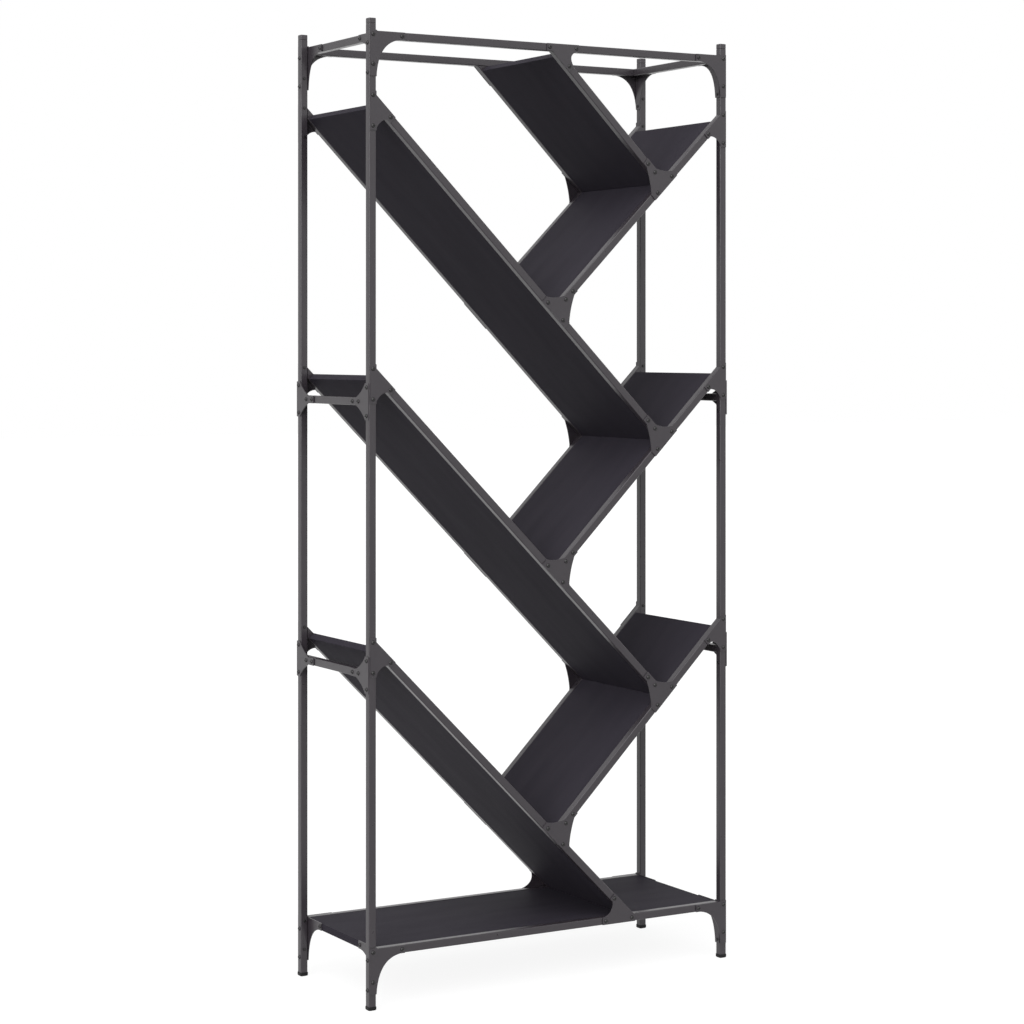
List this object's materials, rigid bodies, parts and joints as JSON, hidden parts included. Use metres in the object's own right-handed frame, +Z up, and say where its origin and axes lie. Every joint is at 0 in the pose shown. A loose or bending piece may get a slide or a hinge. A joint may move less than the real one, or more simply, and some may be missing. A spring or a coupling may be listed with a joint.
{
  "type": "bookcase",
  "caption": "Tall open bookcase in black square steel tube, with zigzag sloping boards between front and rear rails, bolted gusset plates, a level bottom board and plastic feet.",
  "frame": {"origin": "on the floor, under the middle of the bookcase", "axes": "+X to the right as seen from the front, +Y to the back, +Z up"},
  "size_m": [0.8902, 0.3462, 2.01],
  "materials": {
    "steel_post": "semi-gloss black powder coat on square steel tube",
    "steel_rail": "semi-gloss black powder coat on square steel tube with bolted end plates",
    "steel_plate": "semi-gloss black powder coat on flat sheet, with black round-headed bolts",
    "shelf_board": "black faced board with a faint grain, satin",
    "foot_plastic": "black moulded plastic cup"
  },
  "bodies": {
    "root": {"bottom_board": "shelf_board", "bottom_joint_plate_front": "steel_plate", "bottom_joint_plate_rear": "steel_plate", "bottom_rail_front": "steel_rail", "bottom_rail_rear": "steel_rail", "falling_board_1": "shelf_board", "falling_board_2": "shelf_board", "falling_board_3": "shelf_board", "falling_board_4": "shelf_board", "falling_rail_1_front": "steel_rail", "falling_rail_1_rear": "steel_rail", "falling_rail_2_front": "steel_rail", "falling_rail_2_rear": "steel_rail", "falling_rail_3_front": "steel_rail", "falling_rail_3_rear": "steel_rail", "falling_rail_4_front": "steel_rail", "falling_rail_4_rear": "steel_rail", "foot_front_left": "foot_plastic", "foot_front_right": "foot_plastic", "foot_rear_left": "foot_plastic", "foot_rear_right": "foot_plastic", "middle_crossing_plate_1_front": "steel_plate", "middle_crossing_plate_1_rear": "steel_plate", "middle_crossing_plate_2_front": "steel_plate", "middle_crossing_plate_2_rear": "steel_plate", "middle_crossing_plate_3_front": "steel_plate", "middle_crossing_plate_3_rear": "steel_plate", "post_front_left": "steel_post", "post_front_right": "steel_post", "post_rear_left": "steel_post", "post_rear_right": "steel_post", "right_crossing_plate_1_front": "steel_plate", "right_crossing_plate_1_rear": "steel_plate", "right_crossing_plate_2_front": "steel_plate", "right_crossing_plate_2_rear": "steel_plate", "right_crossing_plate_3_front": "steel_plate", "right_crossing_plate_3_rear": "steel_plate", "rising_board_1": "shelf_board", "rising_board_2": "shelf_board", "rising_board_3": "shelf_board", "rising_rail_1_front": "steel_rail", "rising_rail_1_rear": "steel_rail", "rising_rail_2_front": "steel_rail", "rising_rail_2_rear": "steel_rail", "rising_rail_3_front": "steel_rail", "rising_rail_3_rear": "steel_rail", "side_leg_plate_front_left": "steel_plate", "side_leg_plate_front_right": "steel_plate", "side_leg_plate_rear_left": "steel_plate", "side_leg_plate_rear_right": "steel_plate", "side_rail_lower_left": "steel_rail", "side_rail_lower_right": "steel_rail", "side_rail_top_left": "steel_rail", "side_rail_top_right": "steel_rail", "side_rail_upper_left": "steel_rail", "side_rail_upper_right": "steel_rail", "top_joint_plate_front": "steel_plate", "top_joint_plate_rear": "steel_plate", "top_rail_front": "steel_rail", "top_rail_rear": "steel_rail"}
  },
  "joints": []
}
